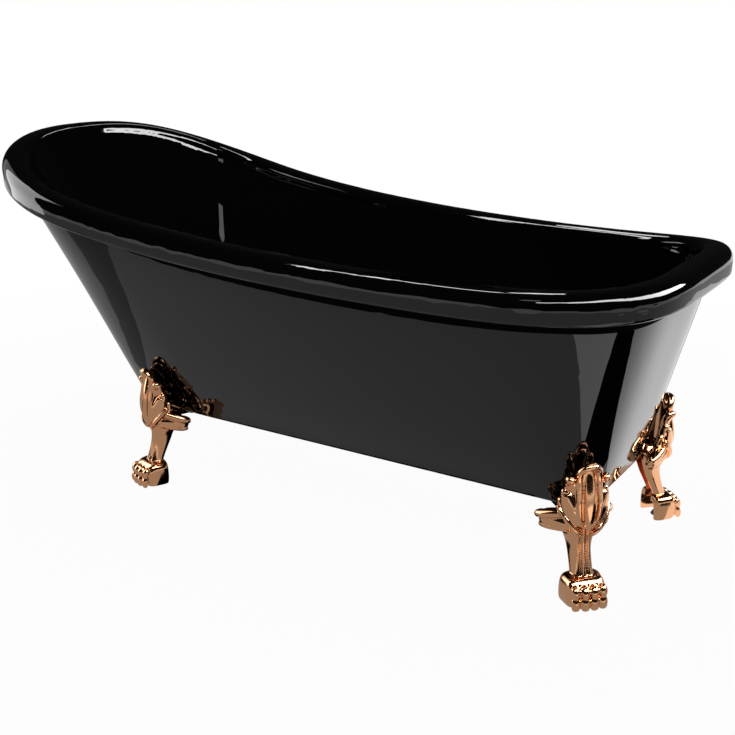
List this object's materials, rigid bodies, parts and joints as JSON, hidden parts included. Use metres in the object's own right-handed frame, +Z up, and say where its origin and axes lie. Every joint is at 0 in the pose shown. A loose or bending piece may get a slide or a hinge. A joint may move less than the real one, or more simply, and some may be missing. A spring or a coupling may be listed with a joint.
{
  "type": "freestanding clawfoot bathtub",
  "caption": "Double-skinned slipper bath with a raised round head end, rolled rim and squared foot end, standing on cast lion-paw feet, with plug waste and overflow.",
  "frame": {"origin": "on the floor, under the middle of the bath's overall length and width", "axes": "+X to the low squared foot end, -X to the high round head end, -Y to the near long side in the picture, +Z up"},
  "size_m": [1.6002, 0.7782, 0.7795],
  "materials": {
    "gloss_black_acrylic": "thermoformed acrylic sheet, deep black, polished to a mirror gloss",
    "bond_adhesive": "cured structural adhesive, off-white, dull",
    "black_sealant": "black sealant bead, satin",
    "board_wood": "bare particle board, fine flakes",
    "bearer_wood": "planed softwood, unfinished",
    "rose_copper": "cast metal, polished and plated in rose copper, recesses darker",
    "seal_rubber": "moulded rubber, matte black",
    "zinc_steel": "bright zinc plated steel",
    "glide_plastic": "black nylon, fine matte texture",
    "waste_chrome": "bright chrome plated brass",
    "cartridge_plastic": "natural acetal, satin",
    "waste_plastic": "white moulded waste plastic, satin",
    "overflow_tube": "grey plastic tube, satin"
  },
  "bodies": {
    "bath": {"basin": "gloss_black_acrylic", "rim_bond": "bond_adhesive", "lip_seal": "black_sealant", "base_board": "board_wood", "bearer_near": "bearer_wood", "bearer_far": "bearer_wood", "cross_bearer_head": "bearer_wood", "cross_bearer_foot": "bearer_wood", "outer_skirt": "gloss_black_acrylic", "claw_foot_near_head": "rose_copper", "foot_gasket_near_head": "seal_rubber", "corner_block_near_head": "bearer_wood", "foot_bolts_near_head": "zinc_steel", "foot_nuts_near_head": "zinc_steel", "claw_foot_far_head": "rose_copper", "foot_gasket_far_head": "seal_rubber", "corner_block_far_head": "bearer_wood", "foot_bolts_far_head": "zinc_steel", "foot_nuts_far_head": "zinc_steel", "claw_foot_near_foot": "rose_copper", "foot_gasket_near_foot": "seal_rubber", "corner_block_near_foot": "bearer_wood", "foot_bolts_near_foot": "zinc_steel", "foot_nuts_near_foot": "zinc_steel", "claw_foot_far_foot": "rose_copper", "foot_gasket_far_foot": "seal_rubber", "corner_block_far_foot": "bearer_wood", "foot_bolts_far_foot": "zinc_steel", "foot_nuts_far_foot": "zinc_steel", "waste_flange": "waste_chrome", "waste_seal_upper": "seal_rubber", "waste_seal_lower": "seal_rubber", "click_cartridge": "cartridge_plastic", "waste_tee": "waste_plastic", "overflow_face": "waste_chrome", "overflow_seal": "seal_rubber", "overflow_elbow": "waste_plastic", "overflow_pipe": "overflow_tube", "tee_nut": "waste_plastic"},
    "plug": {"plug_cap": "waste_chrome", "plug_seal": "seal_rubber", "plug_stem": "waste_chrome"},
    "leveller_near_head": {"leveller_screw_near_head": "zinc_steel", "leveller_pad_near_head": "glide_plastic"},
    "leveller_far_head": {"leveller_screw_far_head": "zinc_steel", "leveller_pad_far_head": "glide_plastic"},
    "leveller_near_foot": {"leveller_screw_near_foot": "zinc_steel", "leveller_pad_near_foot": "glide_plastic"},
    "leveller_far_foot": {"leveller_screw_far_foot": "zinc_steel", "leveller_pad_far_foot": "glide_plastic"}
  },
  "joints": [
    {"name": "plug_lift", "type": "slide", "parent": "bath", "child": "plug", "axis": [0, 0, 1], "range_m": [0, 0.009]},
    {"name": "leveller_lift_near_head", "type": "slide", "parent": "bath", "child": "leveller_near_head", "axis": [0, 0, -1], "range_m": [0, 0.01]},
    {"name": "leveller_lift_far_head", "type": "slide", "parent": "bath", "child": "leveller_far_head", "axis": [0, 0, -1], "range_m": [0, 0.01]},
    {"name": "leveller_lift_near_foot", "type": "slide", "parent": "bath", "child": "leveller_near_foot", "axis": [0, 0, -1], "range_m": [0, 0.01]},
    {"name": "leveller_lift_far_foot", "type": "slide", "parent": "bath", "child": "leveller_far_foot", "axis": [0, 0, -1], "range_m": [0, 0.01]}
  ]
}
